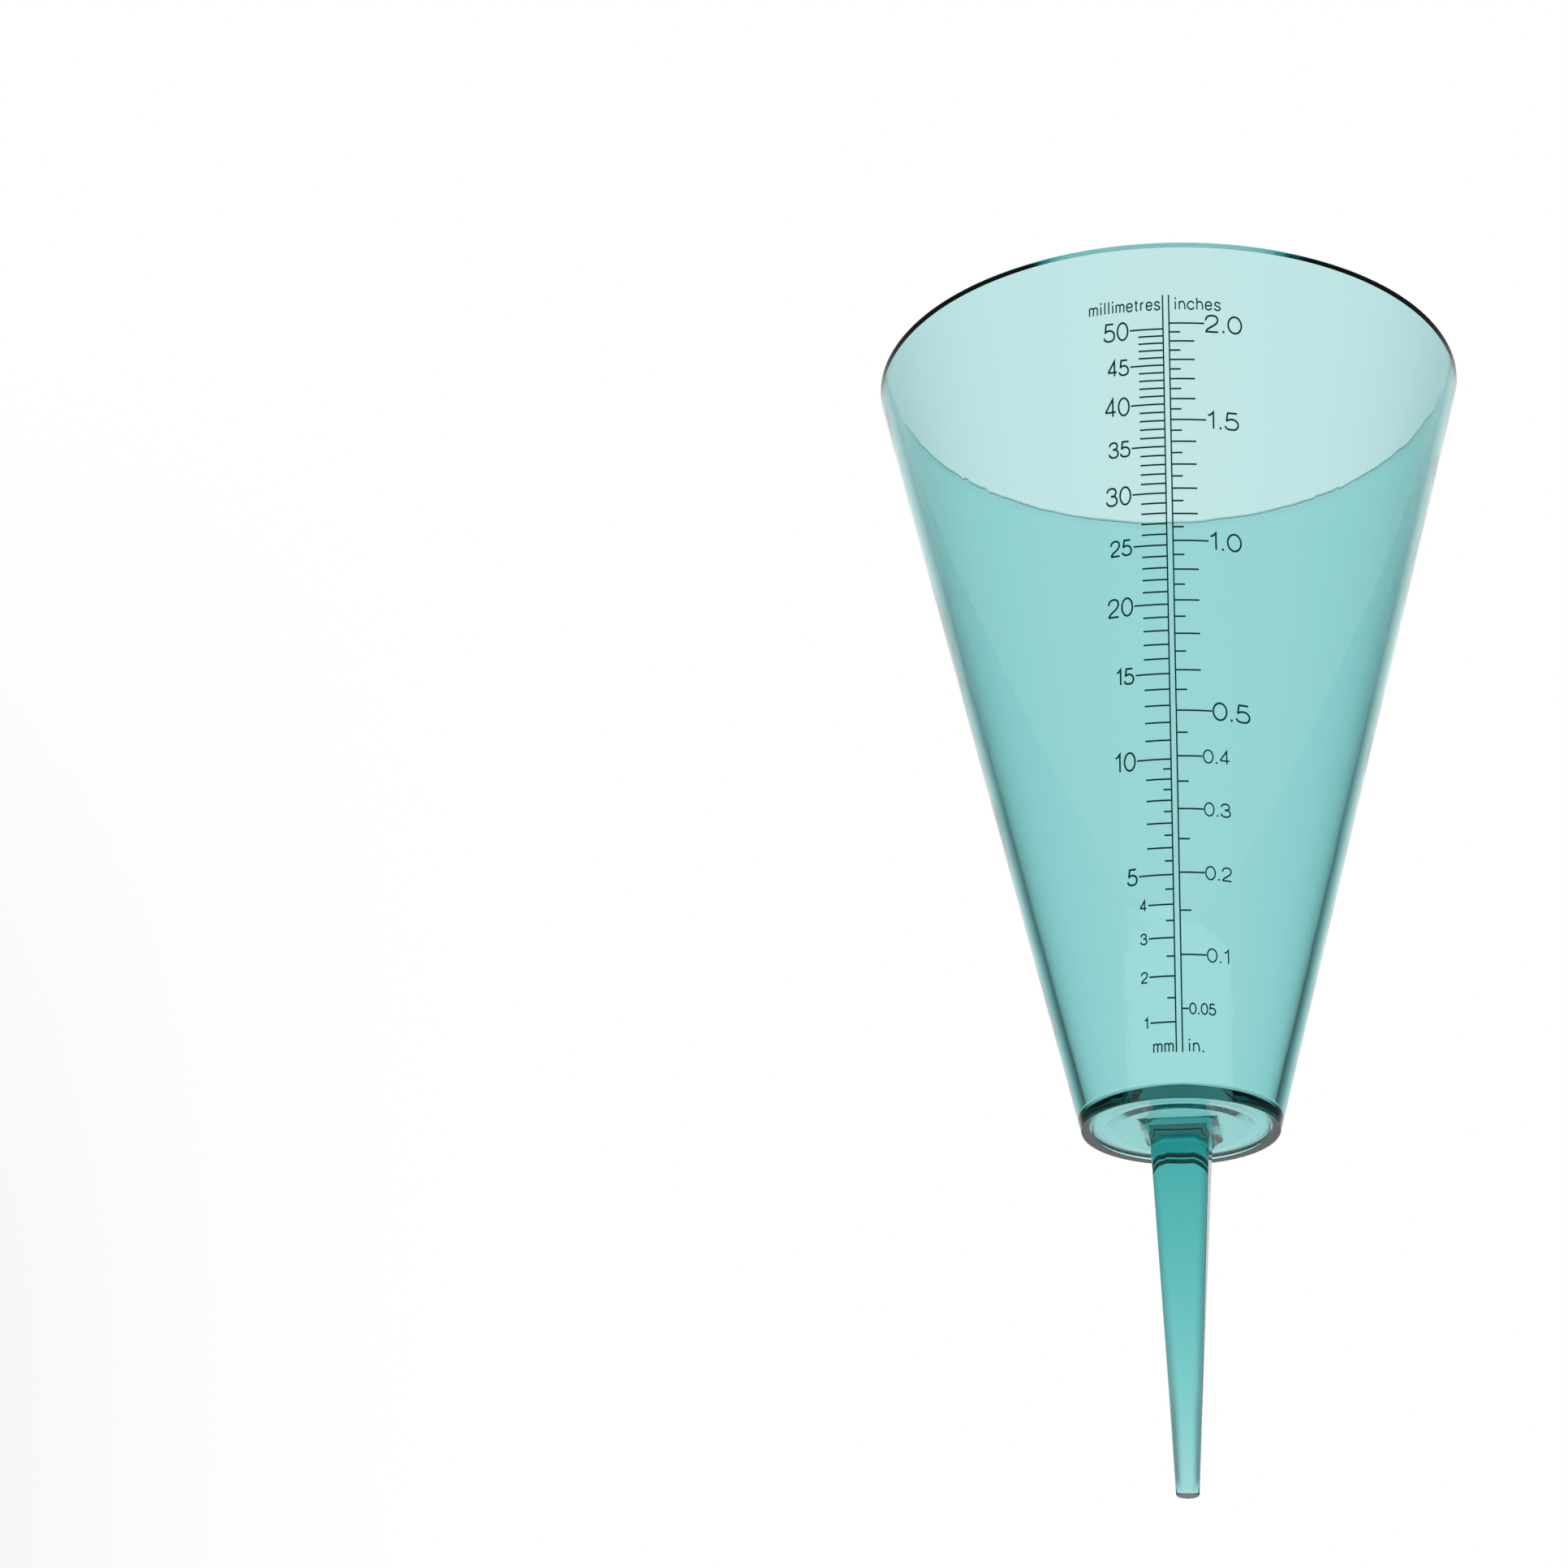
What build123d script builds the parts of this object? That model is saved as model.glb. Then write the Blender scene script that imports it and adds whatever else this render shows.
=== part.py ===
from build123d import *
import math
import os

# Manual rain gauge: a clear tinted plastic cone that collects the rain in its own mouth and shows
# its depth on a printed scale, with a stake under its floor that is pushed into the ground.
# All sizes are in millimetres. The origin is the middle of the foot ring's lower face, which is
# ground level in use. +Z is up, and the printed scale faces -Y.

# Cone
rim_radius = 50.8  # outside, at the top: a four inch mouth
foot_radius = 16.3  # outside, at the bottom
cone_height = 138.6
wall = 2.0  # measured level, across the wall
floor_level = 2.7  # inside face of the floor
inner_corner_radius = 1.0  # where the floor turns up into the wall
rim_edge_radius = 0.15
foot_edge_radius = 0.25

# Underside of the floor: a shallow groove inside the foot ring, round a slightly lower disc
foot_ring_width = 1.8
groove_depth = 0.4  # above the foot ring's face
groove_inner_radius = 12.5
disc_radius = 10.8
disc_level = 0.2
groove_edge_radius = 0.12
groove_corner_radius = 0.2
groove_blend_radius = 1.5  # where the groove rises out to the disc

# Ground spike
spike_length = 60.9  # below the foot ring's face
spike_turn = -5.2  # degrees about Z, from the scale's direction
flare_side = 12.8  # square footprint on the floor
root_side = 9.6  # square section under the flare
flare_drop = 2.8  # the flare's lower end, below the foot ring's face
flare_sections = 4  # that its arc is drawn through
flare_edge_radius = 0.14  # of the flare's corners, at the floor
root_edge_radius = 2.2  # of the stake's corners, at the root
round_share = 0.75  # of the stake's length, where its corners have grown until it is round
tip_radius = 1.85
tip_edge_radius = 0.3
least_flat = 0.05  # what is left of each flat where the section is all but round

# Printed scale
ink_thickness = 0.08
line_width = 0.24
line_gap = 1.0  # between the middles of the twin centre lines
line_overrun_top = 4.7  # above the highest mark
line_overrun_bottom = 4.75  # below the lowest mark
mm_per_inch = 25.4
mm_range = 50
mm_half_marks_below = 10  # half millimetres are marked under this depth
mm_long_mark = 5.4
mm_medium_mark = 4.0
mm_short_mark = 1.2
inch_step = 0.05
inch_steps = 40
inch_long_mark = 5.7
inch_medium_mark = 4.0
inch_short_mark = 1.7
inch_first_mark = 1.0
inch_long_every = 10  # steps
inch_medium_every = 2  # steps
mm_long_every = 5  # millimetres of rain

# Lettering: sizes of numbers are (height, width of a character as a share of it, pen)
pen_large = 0.28
pen_small = 0.22
dot_side = 1.2  # as a share of the pen
character_gap = 0.17  # as a share of the character's height
mm_tens_size = (2.85, 0.6, pen_large)
mm_fives_size = (2.45, 0.6, pen_large)
mm_units_size = (1.6, 0.62, pen_small)
inch_halves_size = (2.72, 0.8, pen_large)
inch_tenths_size = (2.05, 0.74, pen_small)
inch_first_size = (1.65, 0.6, pen_small)
mm_label_gap = 0.19  # clear space between a mark and its number
inch_label_gap = 0.05
mm_caption_width = 0.95
inch_caption_width = 1.05
caption_gap = 0.39  # as a share of the character's width
caption_height = 1.95
caption_rise = 4.25  # upper captions, above the highest mark
caption_drop = 4.65  # lower captions, below the lowest mark
mm_caption_margin = 0.45  # from a centre line to the lettering beside it
inch_caption_margin = 0.95

# Worked out from the sizes above
slope = (rim_radius - foot_radius) / cone_height
mouth_radius = rim_radius - wall
floor_radius = foot_radius + slope * floor_level - wall
half_gap = line_gap / 2
view_plane = Plane(origin=(0, -rim_radius - wall, 0), x_dir=(1, 0, 0), z_dir=(0, -1, 0))

# Strokes of the characters, in a box one wide and one high: a line has straight runs, a curve is
# smooth through its points, a ring fills the box, and a dot is a small square.
STROKES = {
    "0": [("ring", [])],
    "1": [("line", [(0.1, 0.78), (0.4, 0.84), (0.75, 1.0), (0.75, 0.0)])],
    "2": [
        ("curve", [(0.03, 0.69), (0.16, 0.92), (0.5, 1.0), (0.84, 0.92), (0.93, 0.7)]
                  + [(0.72, 0.45), (0.3, 0.24), (0.02, 0.0)]),
        ("line", [(0.0, 0.0), (0.96, 0.0)]),
    ],
    "3": [
        ("curve", [(0.05, 0.76), (0.18, 0.94), (0.48, 1.0), (0.8, 0.92), (0.88, 0.74)]
                  + [(0.74, 0.58), (0.4, 0.54)]),
        ("curve", [(0.4, 0.54), (0.82, 0.48), (0.97, 0.27), (0.84, 0.07), (0.48, 0.0)]
                  + [(0.14, 0.07), (0.0, 0.25)]),
    ],
    "4": [
        ("line", [(0.72, 0.0), (0.72, 1.0), (0.02, 0.27)]),
        ("line", [(0.0, 0.25), (1.0, 0.25)]),
    ],
    "5": [
        ("line", [(0.9, 1.0), (0.2, 1.0), (0.1, 0.5)]),
        ("curve", [(0.1, 0.5), (0.46, 0.63), (0.84, 0.54), (0.98, 0.31)]
                  + [(0.84, 0.07), (0.46, 0.0), (0.12, 0.06), (0.0, 0.22)]),
    ],
    ".": [("dot", [(0.5, 0.04)])],
    "c": [("curve", [(0.95, 0.5), (0.52, 0.68), (0.06, 0.52), (0.06, 0.16), (0.52, 0.0), (0.98, 0.2)])],
    "e": [
        ("line", [(0.03, 0.35), (0.97, 0.35)]),
        ("curve", [(0.97, 0.35), (0.84, 0.6), (0.5, 0.68), (0.1, 0.56)]
                  + [(0.03, 0.3), (0.14, 0.08), (0.54, 0.0), (0.94, 0.18)]),
    ],
    "h": [
        ("line", [(0.08, 0.0), (0.08, 1.0)]),
        ("curve", [(0.08, 0.44), (0.3, 0.64), (0.62, 0.67), (0.86, 0.5), (0.9, 0.0)]),
    ],
    "i": [("line", [(0.5, 0.0), (0.5, 0.68)]), ("dot", [(0.5, 0.94)])],
    "l": [("line", [(0.5, 0.0), (0.5, 1.0)])],
    "m": [
        ("line", [(0.04, 0.0), (0.04, 0.68)]),
        ("curve", [(0.04, 0.44), (0.2, 0.65), (0.42, 0.62), (0.5, 0.4), (0.5, 0.0)]),
        ("curve", [(0.5, 0.44), (0.66, 0.65), (0.88, 0.62), (0.96, 0.4), (0.96, 0.0)]),
    ],
    "n": [
        ("line", [(0.08, 0.0), (0.08, 0.68)]),
        ("curve", [(0.08, 0.44), (0.3, 0.64), (0.62, 0.67), (0.86, 0.5), (0.9, 0.0)]),
    ],
    "r": [
        ("line", [(0.15, 0.0), (0.15, 0.68)]),
        ("curve", [(0.15, 0.4), (0.4, 0.62), (0.85, 0.68)]),
    ],
    "s": [
        ("curve", [(0.92, 0.52), (0.7, 0.66), (0.3, 0.66), (0.12, 0.5), (0.4, 0.36)]
                  + [(0.8, 0.28), (0.94, 0.14), (0.7, 0.01), (0.28, 0.01), (0.04, 0.17)]),
    ],
    "t": [
        ("line", [(0.45, 0.88), (0.45, 0.12), (0.55, 0.02), (0.85, 0.02)]),
        ("line", [(0.05, 0.66), (0.9, 0.66)]),
    ],
}
NARROW = {".": 0.3, "1": 0.62, "i": 0.3, "l": 0.3, "m": 1.5, "r": 0.65, "t": 0.6}


def depth_to_level(depth):
    """Level inside the cone, above the foot, that this depth of rain in the mouth fills it to."""
    corner_lever = floor_radius - (1 - math.pi / 4) * inner_corner_radius
    corner_loss = 2 * corner_lever * (1 - math.pi / 4) * inner_corner_radius**2
    cubed = floor_radius**3 + 3 * slope * (mouth_radius**2 * depth + corner_loss)
    return floor_level + (cubed ** (1 / 3) - floor_radius) / slope


def step_to_level(step):
    """Level of a mark of the inch scale, counted in its steps."""
    return depth_to_level(step * inch_step * mm_per_inch)


def text_width(text, width, gap):
    """Width of a word or number whose plain characters are this wide."""
    return sum(width * NARROW.get(symbol, 1) + gap for symbol in text) - gap


def lettering(text, corner, height, width, gap, pen):
    """Outline of a word or number whose lower left corner is given."""
    with BuildSketch() as word:
        x = corner[0]
        for symbol in text:
            box_width = width * NARROW.get(symbol, 1)
            for kind, points in STROKES[symbol]:
                places = [(x + box_width * u, corner[1] + height * v) for u, v in points]
                if kind == "ring":
                    with Locations((x + box_width / 2, corner[1] + height / 2)):
                        Ellipse((box_width + pen) / 2, (height + pen) / 2)
                        Ellipse((box_width - pen) / 2, (height - pen) / 2, mode=Mode.SUBTRACT)
                elif kind == "dot":
                    with Locations(places[0]):
                        Rectangle(dot_side * pen, dot_side * pen)
                else:
                    with BuildLine():
                        if kind == "line":
                            Polyline(*places)
                        else:
                            Spline(*places)
                    trace(line_width=pen)
            x += box_width + gap
    return word.sketch


def number(text, side, clear_of, level, size):
    """A number beside its mark, on the left (side -1) or the right (side 1) of the centre lines."""
    height, shape, pen = size
    clear_of += pen / 2
    width = height * shape
    gap = height * character_gap
    left = clear_of if side > 0 else -clear_of - text_width(text, width, gap)
    return lettering(text, (left, level - height / 2), height, width, gap, pen)


# Marks: the depth of rain, in that scale's unit, and the length of the mark
mm_marks = {}
for depth in range(1, mm_range + 1):
    mm_marks[depth] = mm_medium_mark if depth % mm_long_every else mm_long_mark
for depth in range(1, mm_half_marks_below):
    mm_marks[depth + 0.5] = mm_short_mark

inch_marks = {1: inch_first_mark}  # by number of steps up the scale
for step in range(2, inch_steps + 1):
    if step % inch_long_every == 0:
        inch_marks[step] = inch_long_mark
    elif step % inch_medium_every == 0:
        inch_marks[step] = inch_medium_mark
    else:
        inch_marks[step] = inch_short_mark

top_level = step_to_level(inch_steps)
low_level = depth_to_level(1)

# Numbers: the text, the depth or step it stands at, and its size
mm_numbers = [(str(unit), unit, mm_units_size) for unit in range(1, 5)]
for depth in range(5, mm_range + 1, 5):
    mm_numbers.append((str(depth), depth, mm_fives_size if depth % 10 else mm_tens_size))

inch_numbers = [("0.05", 1, inch_first_size)]
for tenth in range(1, 5):
    inch_numbers.append((f"0.{tenth}", 2 * tenth, inch_tenths_size))
for half in range(1, 5):
    inch_numbers.append((f"{half / 2:.1f}", inch_long_every * half, inch_halves_size))


# Cone, floor and foot ring: one moulding, turned about Z
foot_inner_radius = foot_radius - foot_ring_width
rounded_corners = [
    (floor_radius, floor_level, inner_corner_radius),
    (mouth_radius, cone_height, rim_edge_radius),
    (rim_radius, cone_height, rim_edge_radius),
    (foot_radius, 0, foot_edge_radius),
    (foot_inner_radius, 0, groove_edge_radius),
    (foot_inner_radius, groove_depth, groove_corner_radius),
    (groove_inner_radius, groove_depth, groove_blend_radius),
    (disc_radius, disc_level, groove_blend_radius),
]
with BuildPart() as measuring_cone:
    with BuildSketch(Plane.XZ) as cone_section:
        with BuildLine():
            Polyline(
                (0, floor_level),
                (floor_radius, floor_level),
                (mouth_radius, cone_height),
                (rim_radius, cone_height),
                (foot_radius, 0),
                (foot_inner_radius, 0),
                (foot_inner_radius, groove_depth),
                (groove_inner_radius, groove_depth),
                (disc_radius, disc_level),
                (0, disc_level),
                close=True,
            )
        make_face()
        for radius_at, level_at, corner_radius in rounded_corners:
            corner = cone_section.vertices().sort_by_distance((radius_at, level_at))[0]
            fillet(corner, corner_radius)
    revolve(axis=Axis.Z)
measuring_cone.part.label = "measuring_cone"


# Ground spike: a flare under the floor, then a stake whose corners grow until it is round
def flare_side_at(share):
    """Width of the flare at this share of its height: it spreads from the stake on a concave arc."""
    spread = (flare_side - root_side) / 2
    rise = disc_level + flare_drop
    sweep_radius = (rise**2 + spread**2) / (2 * spread)
    return root_side + 2 * (sweep_radius - math.sqrt(sweep_radius**2 - (share * rise) ** 2))


turned = Plane.XY.rotated((0, 0, spike_turn))
round_side = root_side + (2 * tip_radius - root_side) * round_share
round_level = -flare_drop - (spike_length - flare_drop) * round_share
with BuildPart() as ground_spike:
    for section in range(flare_sections + 1):
        share = section / flare_sections
        side = flare_side_at(share)
        corner_radius = root_edge_radius + (flare_edge_radius - root_edge_radius) * share
        with BuildSketch(turned.offset(-flare_drop + (disc_level + flare_drop) * share)):
            RectangleRounded(side, side, corner_radius)
    loft()
    with BuildSketch(turned.offset(-flare_drop)):
        RectangleRounded(root_side, root_side, root_edge_radius)
    with BuildSketch(turned.offset(round_level)):
        RectangleRounded(round_side, round_side, round_side / 2 - least_flat)
    with BuildSketch(turned.offset(-spike_length)):
        RectangleRounded(2 * tip_radius, 2 * tip_radius, tip_radius - least_flat)
    loft(ruled=True)
    tip_face = ground_spike.faces().sort_by(Axis.Z)[0]
    fillet(tip_face.edges(), tip_edge_radius)
ground_spike.part.label = "ground_spike"


# Printed scale: each part of it is a layer of ink on the front of the cone
with BuildSketch(Plane.XZ) as ink_section:
    with BuildLine():
        Polyline(
            (foot_radius, 0),
            (foot_radius + ink_thickness, 0),
            (rim_radius + ink_thickness, cone_height),
            (rim_radius, cone_height),
            close=True,
        )
    make_face()

with BuildPart() as scale_centre_lines:
    lines_top = top_level + line_overrun_top
    lines_bottom = low_level - line_overrun_bottom
    with BuildSketch(view_plane):
        with Locations(*[(side * half_gap, (lines_top + lines_bottom) / 2) for side in (-1, 1)]):
            Rectangle(line_width, lines_top - lines_bottom)
    extrude(amount=-rim_radius)
    revolve(ink_section.sketch, axis=Axis.Z, mode=Mode.INTERSECT)
scale_centre_lines.part.label = "scale_centre_lines"

with BuildPart() as mm_graduations:
    with BuildSketch(view_plane):
        for depth, length in mm_marks.items():
            with Locations((-half_gap - line_width / 2, depth_to_level(depth))):
                Rectangle(length, line_width, align=(Align.MAX, Align.CENTER))
    extrude(amount=-rim_radius)
    revolve(ink_section.sketch, axis=Axis.Z, mode=Mode.INTERSECT)
mm_graduations.part.label = "mm_graduations"

with BuildPart() as inch_graduations:
    with BuildSketch(view_plane):
        for step, length in inch_marks.items():
            with Locations((half_gap + line_width / 2, step_to_level(step))):
                Rectangle(length, line_width, align=(Align.MIN, Align.CENTER))
    extrude(amount=-rim_radius)
    revolve(ink_section.sketch, axis=Axis.Z, mode=Mode.INTERSECT)
inch_graduations.part.label = "inch_graduations"

with BuildPart() as mm_numerals:
    with BuildSketch(view_plane):
        for text, depth, size in mm_numbers:
            clear_of = half_gap + line_width / 2 + mm_marks[depth] + mm_label_gap
            add(number(text, -1, clear_of, depth_to_level(depth), size))
    extrude(amount=-rim_radius)
    revolve(ink_section.sketch, axis=Axis.Z, mode=Mode.INTERSECT)
mm_numerals.part.label = "mm_numerals"

with BuildPart() as inch_numerals:
    with BuildSketch(view_plane):
        for text, step, size in inch_numbers:
            clear_of = half_gap + line_width / 2 + inch_marks[step] + inch_label_gap
            add(number(text, 1, clear_of, step_to_level(step), size))
    extrude(amount=-rim_radius)
    revolve(ink_section.sketch, axis=Axis.Z, mode=Mode.INTERSECT)
inch_numerals.part.label = "inch_numerals"

with BuildPart() as unit_captions:
    with BuildSketch(view_plane):
        for left_word, right_word, level in (
            ("millimetres", "inches", top_level + caption_rise - caption_height),
            ("mm", "in.", low_level - caption_drop),
        ):
            width = mm_caption_width
            gap = caption_gap * width
            edge = -half_gap - mm_caption_margin - text_width(left_word, width, gap)
            add(lettering(left_word, (edge, level), caption_height, width, gap, pen_small))
            width = inch_caption_width
            gap = caption_gap * width
            edge = half_gap + inch_caption_margin
            add(lettering(right_word, (edge, level), caption_height, width, gap, pen_small))
    extrude(amount=-rim_radius)
    revolve(ink_section.sketch, axis=Axis.Z, mode=Mode.INTERSECT)
unit_captions.part.label = "unit_captions"

finished = [
    measuring_cone,
    ground_spike,
    scale_centre_lines,
    mm_graduations,
    inch_graduations,
    mm_numerals,
    inch_numerals,
    unit_captions,
]
os.makedirs("parts", exist_ok=True)
for piece in finished:
    export_step(piece.part, f"parts/{piece.part.label}.step")
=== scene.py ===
import bpy
import math
from mathutils import Matrix, Vector


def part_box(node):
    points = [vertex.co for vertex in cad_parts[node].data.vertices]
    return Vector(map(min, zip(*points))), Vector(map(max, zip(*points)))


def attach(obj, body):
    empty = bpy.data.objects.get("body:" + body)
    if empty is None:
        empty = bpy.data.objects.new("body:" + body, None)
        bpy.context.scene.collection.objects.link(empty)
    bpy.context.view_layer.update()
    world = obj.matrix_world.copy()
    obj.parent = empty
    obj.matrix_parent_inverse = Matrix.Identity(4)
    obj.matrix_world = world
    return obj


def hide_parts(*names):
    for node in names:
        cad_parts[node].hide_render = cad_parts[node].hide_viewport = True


# Manual rain gauge, seen from below: a clear tinted plastic cone on a solid stake, with a printed scale.
# Sizes here are in millimetres until a mesh is made, and the frame is in metres.

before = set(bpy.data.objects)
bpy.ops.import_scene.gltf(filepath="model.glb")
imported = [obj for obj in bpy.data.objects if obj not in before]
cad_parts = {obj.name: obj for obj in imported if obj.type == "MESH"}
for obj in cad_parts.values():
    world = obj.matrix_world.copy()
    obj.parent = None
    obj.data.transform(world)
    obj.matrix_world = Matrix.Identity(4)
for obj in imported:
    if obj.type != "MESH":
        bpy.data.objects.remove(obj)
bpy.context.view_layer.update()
MM = 0.001

# Sizes of the moulding
cone_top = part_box("measuring_cone")[1][2]
spike_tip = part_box("ground_spike")[0][2]
RIM_RADIUS = 50.8
CONE_HEIGHT = cone_top / MM
SPIKE_LENGTH = -spike_tip / MM
FOOT_RADIUS = 16.3
WALL = 2.0
FLOOR_LEVEL = 2.7
GROOVE_DEPTH = 0.4
GROOVE_INNER_RADIUS = 12.5
DISC_RADIUS = 10.8
DISC_LEVEL = 0.2
GROOVE_BLEND = 1.5
FOOT_RING_WIDTH = 1.8
INNER_CORNER_RADIUS = 1.0
RIM_EDGE_RADIUS = 0.15
RIM_INNER_EDGE_RADIUS = 0.03
FOOT_EDGE_RADIUS = 0.25
RECESS_EDGE_RADIUS = 0.12
RECESS_CORNER_RADIUS = 0.2
SPIKE_TURN = math.radians(-5.2)
FLARE_HALF = 6.4
ROOT_HALF = 4.8
FLARE_DROP = 2.8
FLARE_EDGE = 0.14
FLARE_FOOT_FILLET = 0.25
ROOT_CORNER = 2.2
ROUND_SHARE = 0.75
TIP_RADIUS = 1.85
TIP_FLAT = 0.05
TIP_EDGE_RADIUS = 0.3

# Studio: the surround is white overhead and, low down, only round the backdrop behind the object. Low down
# everywhere else, behind the camera too, it turns softly to a neutral dark grey.
SKY = 1.0
SHADE = 0.12
SIDE_BEGIN = math.radians(10)
SIDE_FULL = math.radians(45)
LOW_FULL = math.sin(math.radians(14))
LOW_END = math.sin(math.radians(30))
FLOOR_HALF_SPAN = 4.0  # metres, as is the floor's height
FLOOR_HEIGHT = -0.34
FLOOR_TONE = 0.9

# Camera: its place in metres, and the directions of the picture's right side and of its axis
SENSOR_WIDTH = 36
FOCAL_LENGTH = 98.124
CAMERA_PLACE = (-0.0003, -0.66398, -0.23844)
CAMERA_RIGHT = (0.99572, 0.09012, 0.02058)
CAMERA_FORWARD = (-0.09056, 0.90631, 0.41279)
BOUNCES = 32

# How finely a loop is divided: steps along half a side of the stake, and round half of its corner
SIDE_STEPS = 24
CORNER_STEPS = 8
SIDE_ANGLE = math.radians(42)
HOLD = 0.03  # length of the short faces that hold a straight run flat beside a rounded corner
FLOOR_CIRCLE = 9.8  # where the underside starts to change from round to the flare's square
FLOOR_CENTRE = 0.5  # where the floor's upper face starts, beside the axis
RUN_SPACING = 10  # about how far apart the points on a straight run are
UNDERSIDE_STEPS = 4
FLARE_STEPS = 16
SPIKE_STEPS = 24
TIP_STEPS = 6
SHARP_ANGLE = math.radians(40)

# The fillet above the flare: how far each loop is below the disc, and its share of the fillet's width
FILLET_DROPS = (0, 0.03, 0.08, 0.16)
FILLET_SHARES = (1, 0.55, 0.25, 0.07)


def octant_circle(radius):
    """Points of an eighth of a circle."""
    points = []
    for k in range(SIDE_STEPS + 1):
        angle = SIDE_ANGLE * k / SIDE_STEPS
        points.append((radius * math.cos(angle), radius * math.sin(angle)))
    for k in range(1, CORNER_STEPS + 1):
        angle = SIDE_ANGLE + (math.pi / 4 - SIDE_ANGLE) * k / CORNER_STEPS
        points.append((radius * math.cos(angle), radius * math.sin(angle)))
    return points


def octant_square(half, corner):
    """Points of an eighth of a rounded square."""
    flat = half - corner
    points = []
    for k in range(SIDE_STEPS + 1):
        share = math.tan(SIDE_ANGLE * k / SIDE_STEPS) / math.tan(SIDE_ANGLE)
        points.append((half, flat * share))
    for k in range(1, CORNER_STEPS + 1):
        angle = math.pi / 4 * k / CORNER_STEPS
        points.append((flat + corner * math.cos(angle), flat + corner * math.sin(angle)))
    return points


def whole_loop(octant, level):
    """The eight-fold loop that an octant's points repeat round, turned with the stake."""
    mirrored = [(y, x) for x, y in reversed(octant[1:-1])]
    quadrant = octant + mirrored
    loop = []
    for quarter in range(4):
        turn = SPIKE_TURN + quarter * math.pi / 2
        for x, y in quadrant:
            across = x * math.cos(turn) - y * math.sin(turn)
            along = x * math.sin(turn) + y * math.cos(turn)
            loop.append((across, along, level))
    return loop


def rounded_line(corners):
    """(radius, level) points along straight runs; corners are (radius, level, rounding, steps)."""
    runs = []
    for i, (r, z, rounding, steps) in enumerate(corners):
        here = Vector((r, z))
        if rounding == 0:
            runs.append([here])
            continue
        before = (Vector(corners[i - 1][:2]) - here).normalized()
        after = (Vector(corners[i + 1][:2]) - here).normalized()
        half = before.angle(after) / 2
        centre = here + (before + after).normalized() * rounding / math.sin(half)
        start = here + before * rounding / math.tan(half) - centre
        end = here + after * rounding / math.tan(half) - centre
        first = math.atan2(start.y, start.x)
        sweep = math.atan2(start.x * end.y - start.y * end.x, start.dot(end))
        runs.append([
            centre + rounding * Vector((math.cos(angle), math.sin(angle)))
            for angle in (first + sweep * k / steps for k in range(steps + 1))
        ])
    line = list(runs[0])
    for run in runs[1:]:
        begin, finish = line[-1], run[0]
        span = (finish - begin).length
        if span > 4 * HOLD:
            step = (finish - begin) / span
            pieces = max(1, round(span / RUN_SPACING))
            line.append(begin + step * HOLD)
            for k in range(1, pieces):
                line.append(begin + step * (span * k / pieces))
            line.append(finish - step * HOLD)
        line.extend(run)
    return line


def mix(a, b, share):
    return [tuple(p + (q - p) * share for p, q in zip(u, v)) for u, v in zip(a, b)]


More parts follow.
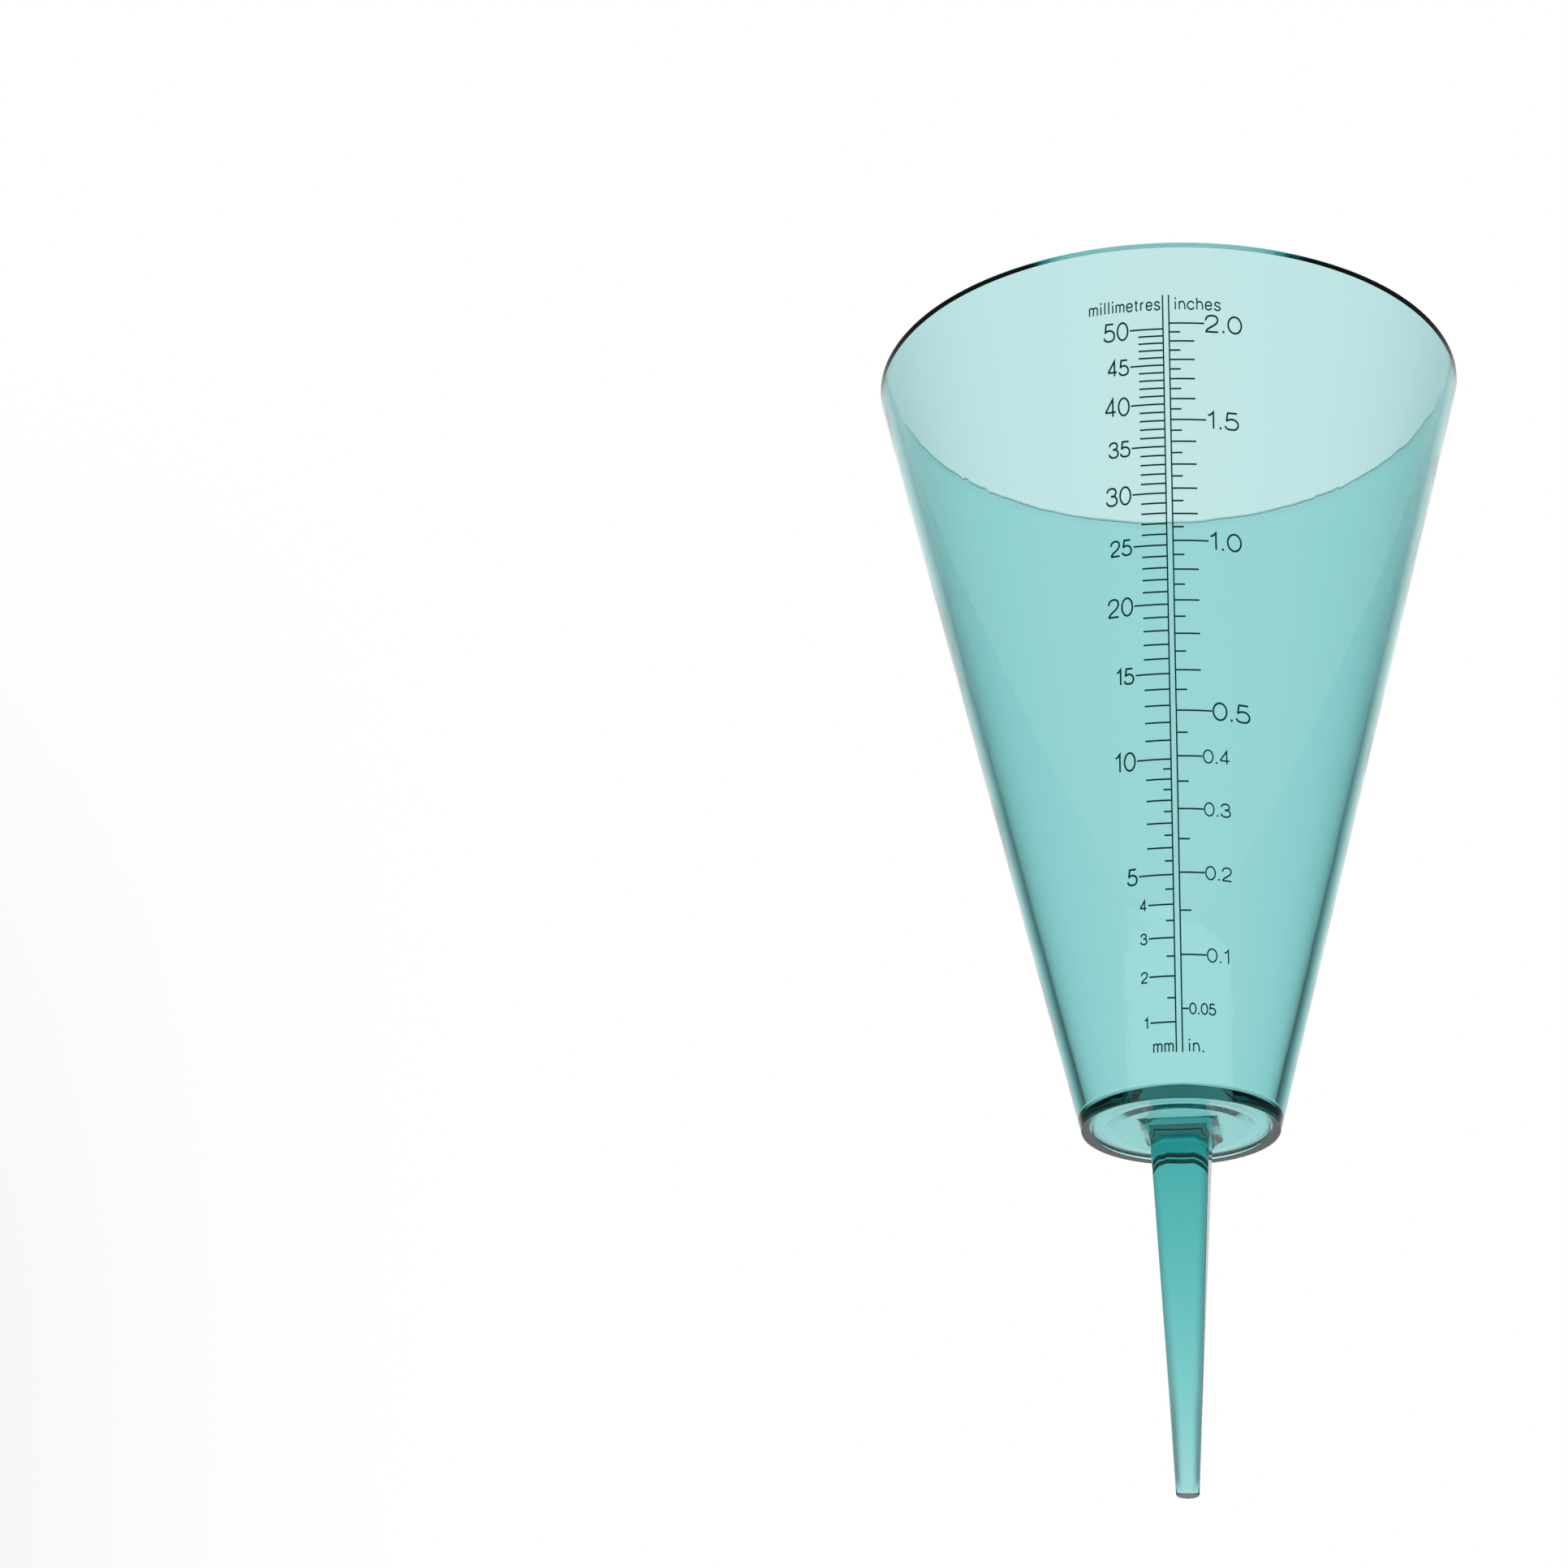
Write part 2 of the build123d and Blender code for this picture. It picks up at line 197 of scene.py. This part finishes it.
def moulding_loops():
    slope = (RIM_RADIUS - FOOT_RADIUS) / CONE_HEIGHT
    floor_radius = FOOT_RADIUS + slope * FLOOR_LEVEL - WALL
    ring_inside = FOOT_RADIUS - FOOT_RING_WIDTH
    profile = rounded_line([
        (FLOOR_CENTRE, FLOOR_LEVEL, 0, 0),
        (floor_radius, FLOOR_LEVEL, INNER_CORNER_RADIUS, 16),
        (RIM_RADIUS - WALL, CONE_HEIGHT, RIM_INNER_EDGE_RADIUS, 4),
        (RIM_RADIUS, CONE_HEIGHT, RIM_EDGE_RADIUS, 8),
        (FOOT_RADIUS, 0, FOOT_EDGE_RADIUS, 8),
        (ring_inside, 0, RECESS_EDGE_RADIUS, 6),
        (ring_inside, GROOVE_DEPTH, RECESS_CORNER_RADIUS, 6),
        (GROOVE_INNER_RADIUS, GROOVE_DEPTH, GROOVE_BLEND, 8),
        (DISC_RADIUS, DISC_LEVEL, GROOVE_BLEND, 8),
        (FLOOR_CIRCLE, DISC_LEVEL, 0, 0),
    ])
    loops = [whole_loop(octant_circle(p.x), p.y) for p in profile]

    # Underside of the floor: from a circle to the square foot of the flare
    circle = octant_circle(FLOOR_CIRCLE)
    top = DISC_LEVEL
    footprint = octant_square(FLARE_HALF + FLARE_FOOT_FILLET + HOLD, FLARE_EDGE + FLARE_FOOT_FILLET + HOLD)
    for k in range(1, UNDERSIDE_STEPS + 1):
        loops.append(whole_loop(mix(circle, footprint, k / UNDERSIDE_STEPS), top))

    # Flare: a fillet against the floor, then an arc that runs into the stake
    arc_radius = ((top + FLARE_DROP)**2 + (FLARE_HALF - ROOT_HALF)**2) / (2 * (FLARE_HALF - ROOT_HALF))
    levels = [top - drop for drop in FILLET_DROPS]
    spread = [share * FLARE_FOOT_FILLET for share in FILLET_SHARES]
    fillet_depth = FILLET_DROPS[-1]
    for k in range(1, FLARE_STEPS + 1):
        levels.append(top - fillet_depth - (FLARE_DROP + top - fillet_depth) * k / FLARE_STEPS)
        spread.append(0)
    for level, extra in zip(levels, spread):
        half = ROOT_HALF + arc_radius - math.sqrt(arc_radius**2 - (level + FLARE_DROP)**2) + extra
        share = (top - level) / (top + FLARE_DROP)
        corner = FLARE_EDGE + (ROOT_CORNER - FLARE_EDGE) * share + extra
        loops.append(whole_loop(octant_square(half, corner), level))

    # Stake: square at the root, all but round at the tip
    tip_top = SPIKE_LENGTH - TIP_EDGE_RADIUS
    for k in range(1, SPIKE_STEPS + 1):
        depth = FLARE_DROP + (tip_top - FLARE_DROP) * k / SPIKE_STEPS
        share = (depth - FLARE_DROP) / (SPIKE_LENGTH - FLARE_DROP)
        half = ROOT_HALF + (TIP_RADIUS - ROOT_HALF) * share
        round_half = ROOT_HALF + (TIP_RADIUS - ROOT_HALF) * ROUND_SHARE
        corner = ROOT_CORNER + (round_half - ROOT_CORNER) * share / ROUND_SHARE
        corner = min(corner, half) - TIP_FLAT
        loops.append(whole_loop(octant_square(half, corner), -depth))
    for k in range(1, TIP_STEPS + 1):
        angle = math.pi / 2 * k / TIP_STEPS
        inset = TIP_EDGE_RADIUS * (1 - math.cos(angle))
        depth = tip_top + TIP_EDGE_RADIUS * math.sin(angle)
        loops.append(whole_loop(octant_square(TIP_RADIUS - inset, TIP_RADIUS - TIP_FLAT - inset), -depth))
    inner = TIP_RADIUS - TIP_EDGE_RADIUS - HOLD
    loops.append(whole_loop(octant_square(inner, inner - TIP_FLAT), -SPIKE_LENGTH))
    return loops


def closed_mesh(name, loops):
    """A watertight mesh through a stack of loops, closed at both ends on the axis."""
    count = len(loops[0])
    points = [Vector(p) * MM for loop in loops for p in loop]
    faces = []
    for row in range(len(loops) - 1):
        for k in range(count):
            a = row * count + k
            b = row * count + (k + 1) % count
            faces.append((a, a + count, b + count, b))
    for row, flip in ((0, True), (len(loops) - 1, False)):
        centre = len(points)
        points.append(Vector((0, 0, loops[row][0][2])) * MM)
        for k in range(count):
            a = row * count + k
            b = row * count + (k + 1) % count
            faces.append((a, b, centre) if flip else (b, a, centre))
    mesh = bpy.data.meshes.new(name)
    mesh.from_pydata(points, [], faces)
    mesh.validate()
    mesh.shade_smooth()
    mesh.set_sharp_from_angle(angle=SHARP_ANGLE)
    piece = bpy.data.objects.new(name, mesh)
    bpy.context.scene.collection.objects.link(piece)
    return piece


def nodes_of(material):
    material.use_nodes = True
    tree = material.node_tree
    tree.nodes.clear()
    return tree


def node(tree, kind, **inputs):
    made = tree.nodes.new(kind)
    for key, value in inputs.items():
        made.inputs[key.replace("_", " ")].default_value = value
    return made


def tinted_plastic():
    material = bpy.data.materials.new("clear_tinted_acrylic")
    tree = nodes_of(material)
    link = tree.links.new
    place = tree.nodes.new("ShaderNodeTexCoord")
    shader = node(tree, "ShaderNodeBsdfPrincipled", Base_Color=(1, 1, 1, 1), IOR=1.49)
    shader.inputs["Transmission Weight"].default_value = 1.0

    # Faint flow waves left by moulding, and fine scuffs
    waves = node(tree, "ShaderNodeTexNoise", Scale=55.0, Detail=2.0, Roughness=0.5)
    scuffs = node(tree, "ShaderNodeTexNoise", Scale=900.0, Detail=4.0, Roughness=0.6)
    link(place.outputs["Object"], waves.inputs["Vector"])
    link(place.outputs["Object"], scuffs.inputs["Vector"])
    rough = node(tree, "ShaderNodeMapRange", From_Min=0.45, From_Max=0.75, To_Min=0.0, To_Max=0.05)
    link(scuffs.outputs["Fac"], rough.inputs["Value"])
    link(rough.outputs["Result"], shader.inputs["Roughness"])
    bump = node(tree, "ShaderNodeBump", Strength=0.12, Distance=0.0006)
    link(waves.outputs["Fac"], bump.inputs["Height"])
    link(bump.outputs["Normal"], shader.inputs["Normal"])

    absorb = node(tree, "ShaderNodeVolumeAbsorption", Color=(0.1, 0.727, 0.72, 1), Density=300.0)
    output = tree.nodes.new("ShaderNodeOutputMaterial")
    link(shader.outputs["BSDF"], output.inputs["Surface"])
    link(absorb.outputs["Volume"], output.inputs["Volume"])
    return material


def worn_ink():
    material = bpy.data.materials.new("printing_ink_worn")
    tree = nodes_of(material)
    link = tree.links.new
    place = tree.nodes.new("ShaderNodeTexCoord")
    shader = node(tree, "ShaderNodeBsdfPrincipled", IOR=1.45)
    shader.inputs["Specular IOR Level"].default_value = 0.06
    patches = node(tree, "ShaderNodeTexNoise", Scale=700.0, Detail=3.0, Roughness=0.6)
    link(place.outputs["Object"], patches.inputs["Vector"])
    colour = tree.nodes.new("ShaderNodeValToRGB")
    colour.color_ramp.elements[0].position = 0.3
    colour.color_ramp.elements[0].color = (0.0003, 0.028, 0.022, 1)
    colour.color_ramp.elements[1].position = 0.75
    colour.color_ramp.elements[1].color = (0.0005, 0.06, 0.048, 1)
    link(patches.outputs["Fac"], colour.inputs["Fac"])
    link(colour.outputs["Color"], shader.inputs["Base Color"])
    rough = node(tree, "ShaderNodeMapRange", From_Min=0.3, From_Max=0.7, To_Min=0.35, To_Max=0.65)
    link(patches.outputs["Fac"], rough.inputs["Value"])
    link(rough.outputs["Result"], shader.inputs["Roughness"])
    output = tree.nodes.new("ShaderNodeOutputMaterial")
    link(shader.outputs["BSDF"], output.inputs["Surface"])
    return material


def smooth_step(tree, value, begin, end, low, high):
    """A smooth change from low to high as value goes from begin to end."""
    step = node(tree, "ShaderNodeMapRange", From_Min=begin, From_Max=end, To_Min=low, To_Max=high)
    step.interpolation_type = "SMOOTHSTEP"
    tree.links.new(value, step.inputs["Value"])
    return step.outputs["Result"]


def combined(tree, operation, first, second):
    made = tree.nodes.new("ShaderNodeMath")
    made.operation = operation
    for socket, value in zip(made.inputs, (first, second)):
        if isinstance(value, (int, float)):
            socket.default_value = value
        else:
            tree.links.new(value, socket)
    return made.outputs["Value"]


# The moulding
body = closed_mesh("gauge_moulding", moulding_loops())
body.data.materials.append(tinted_plastic())
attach(body, "root")
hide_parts("measuring_cone", "ground_spike")

# The print
ink = worn_ink()
PRINTED = (
    "scale_centre_lines", "mm_graduations", "mm_numerals",
    "inch_graduations", "inch_numerals", "unit_captions",
)
for name in PRINTED:
    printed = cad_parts[name]
    for slot in printed.material_slots:
        slot.material = ink

# Studio: the surround, whose darker parts draw the edges of the clear plastic, and a plain pale floor
scene = bpy.context.scene
world = bpy.data.worlds.new("studio")
scene.world = world
world.use_nodes = True
tree = world.node_tree
tree.nodes.clear()
way = tree.nodes.new("ShaderNodeSeparateXYZ")
tree.links.new(tree.nodes.new("ShaderNodeTexCoord").outputs["Generated"], way.inputs["Vector"])
bearing = combined(tree, "ARCTAN2", way.outputs["X"], way.outputs["Y"])
rise = way.outputs["Z"]
aside = combined(tree, "ABSOLUTE", bearing, 0)
sides = smooth_step(tree, aside, SIDE_BEGIN, SIDE_FULL, 0, 1)
low = smooth_step(tree, rise, LOW_FULL, LOW_END, 1, 0)
shade = combined(tree, "MULTIPLY", sides, low)
tones = tree.nodes.new("ShaderNodeMix")
tones.data_type = "RGBA"
tones.inputs["A"].default_value = (SKY, SKY, SKY, 1)
tones.inputs["B"].default_value = (SHADE, SHADE, SHADE, 1)
tree.links.new(shade, tones.inputs["Factor"])
glow = node(tree, "ShaderNodeBackground")
tree.links.new(tones.outputs["Result"], glow.inputs["Color"])
sky = tree.nodes.new("ShaderNodeOutputWorld")
tree.links.new(glow.outputs["Background"], sky.inputs["Surface"])

floor_mesh = bpy.data.meshes.new("studio_floor")
floor_corners = [
    (x * FLOOR_HALF_SPAN, y * FLOOR_HALF_SPAN, FLOOR_HEIGHT)
    for x, y in ((-1, -1), (1, -1), (1, 1), (-1, 1))
]
floor_mesh.from_pydata(floor_corners, [], [(0, 1, 2, 3)])
floor = bpy.data.objects.new("studio_floor", floor_mesh)
scene.collection.objects.link(floor)
pale = bpy.data.materials.new("pale_floor")
tree = nodes_of(pale)
matte = node(tree, "ShaderNodeBsdfDiffuse", Color=(FLOOR_TONE, FLOOR_TONE, FLOOR_TONE, 1))
out = tree.nodes.new("ShaderNodeOutputMaterial")
tree.links.new(matte.outputs["BSDF"], out.inputs["Surface"])
floor_mesh.materials.append(pale)

# Camera: below and in front, looking up at the scale
camera_data = bpy.data.cameras.new("camera")
camera_data.sensor_width = SENSOR_WIDTH
camera_data.lens = FOCAL_LENGTH
camera = bpy.data.objects.new("camera", camera_data)
right = Vector(CAMERA_RIGHT).normalized()
forward = Vector(CAMERA_FORWARD).normalized()
up = right.cross(forward).normalized()
right = forward.cross(up).normalized()
turn = Matrix((right, up, -forward)).transposed()
camera.matrix_world = Matrix.Translation(CAMERA_PLACE) @ turn.to_4x4()
scene.collection.objects.link(camera)
scene.camera = camera

scene.view_settings.view_transform = "Standard"
scene.cycles.max_bounces = BOUNCES
scene.cycles.transmission_bounces = BOUNCES
scene.cycles.glossy_bounces = BOUNCES
scene.cycles.transparent_max_bounces = BOUNCES
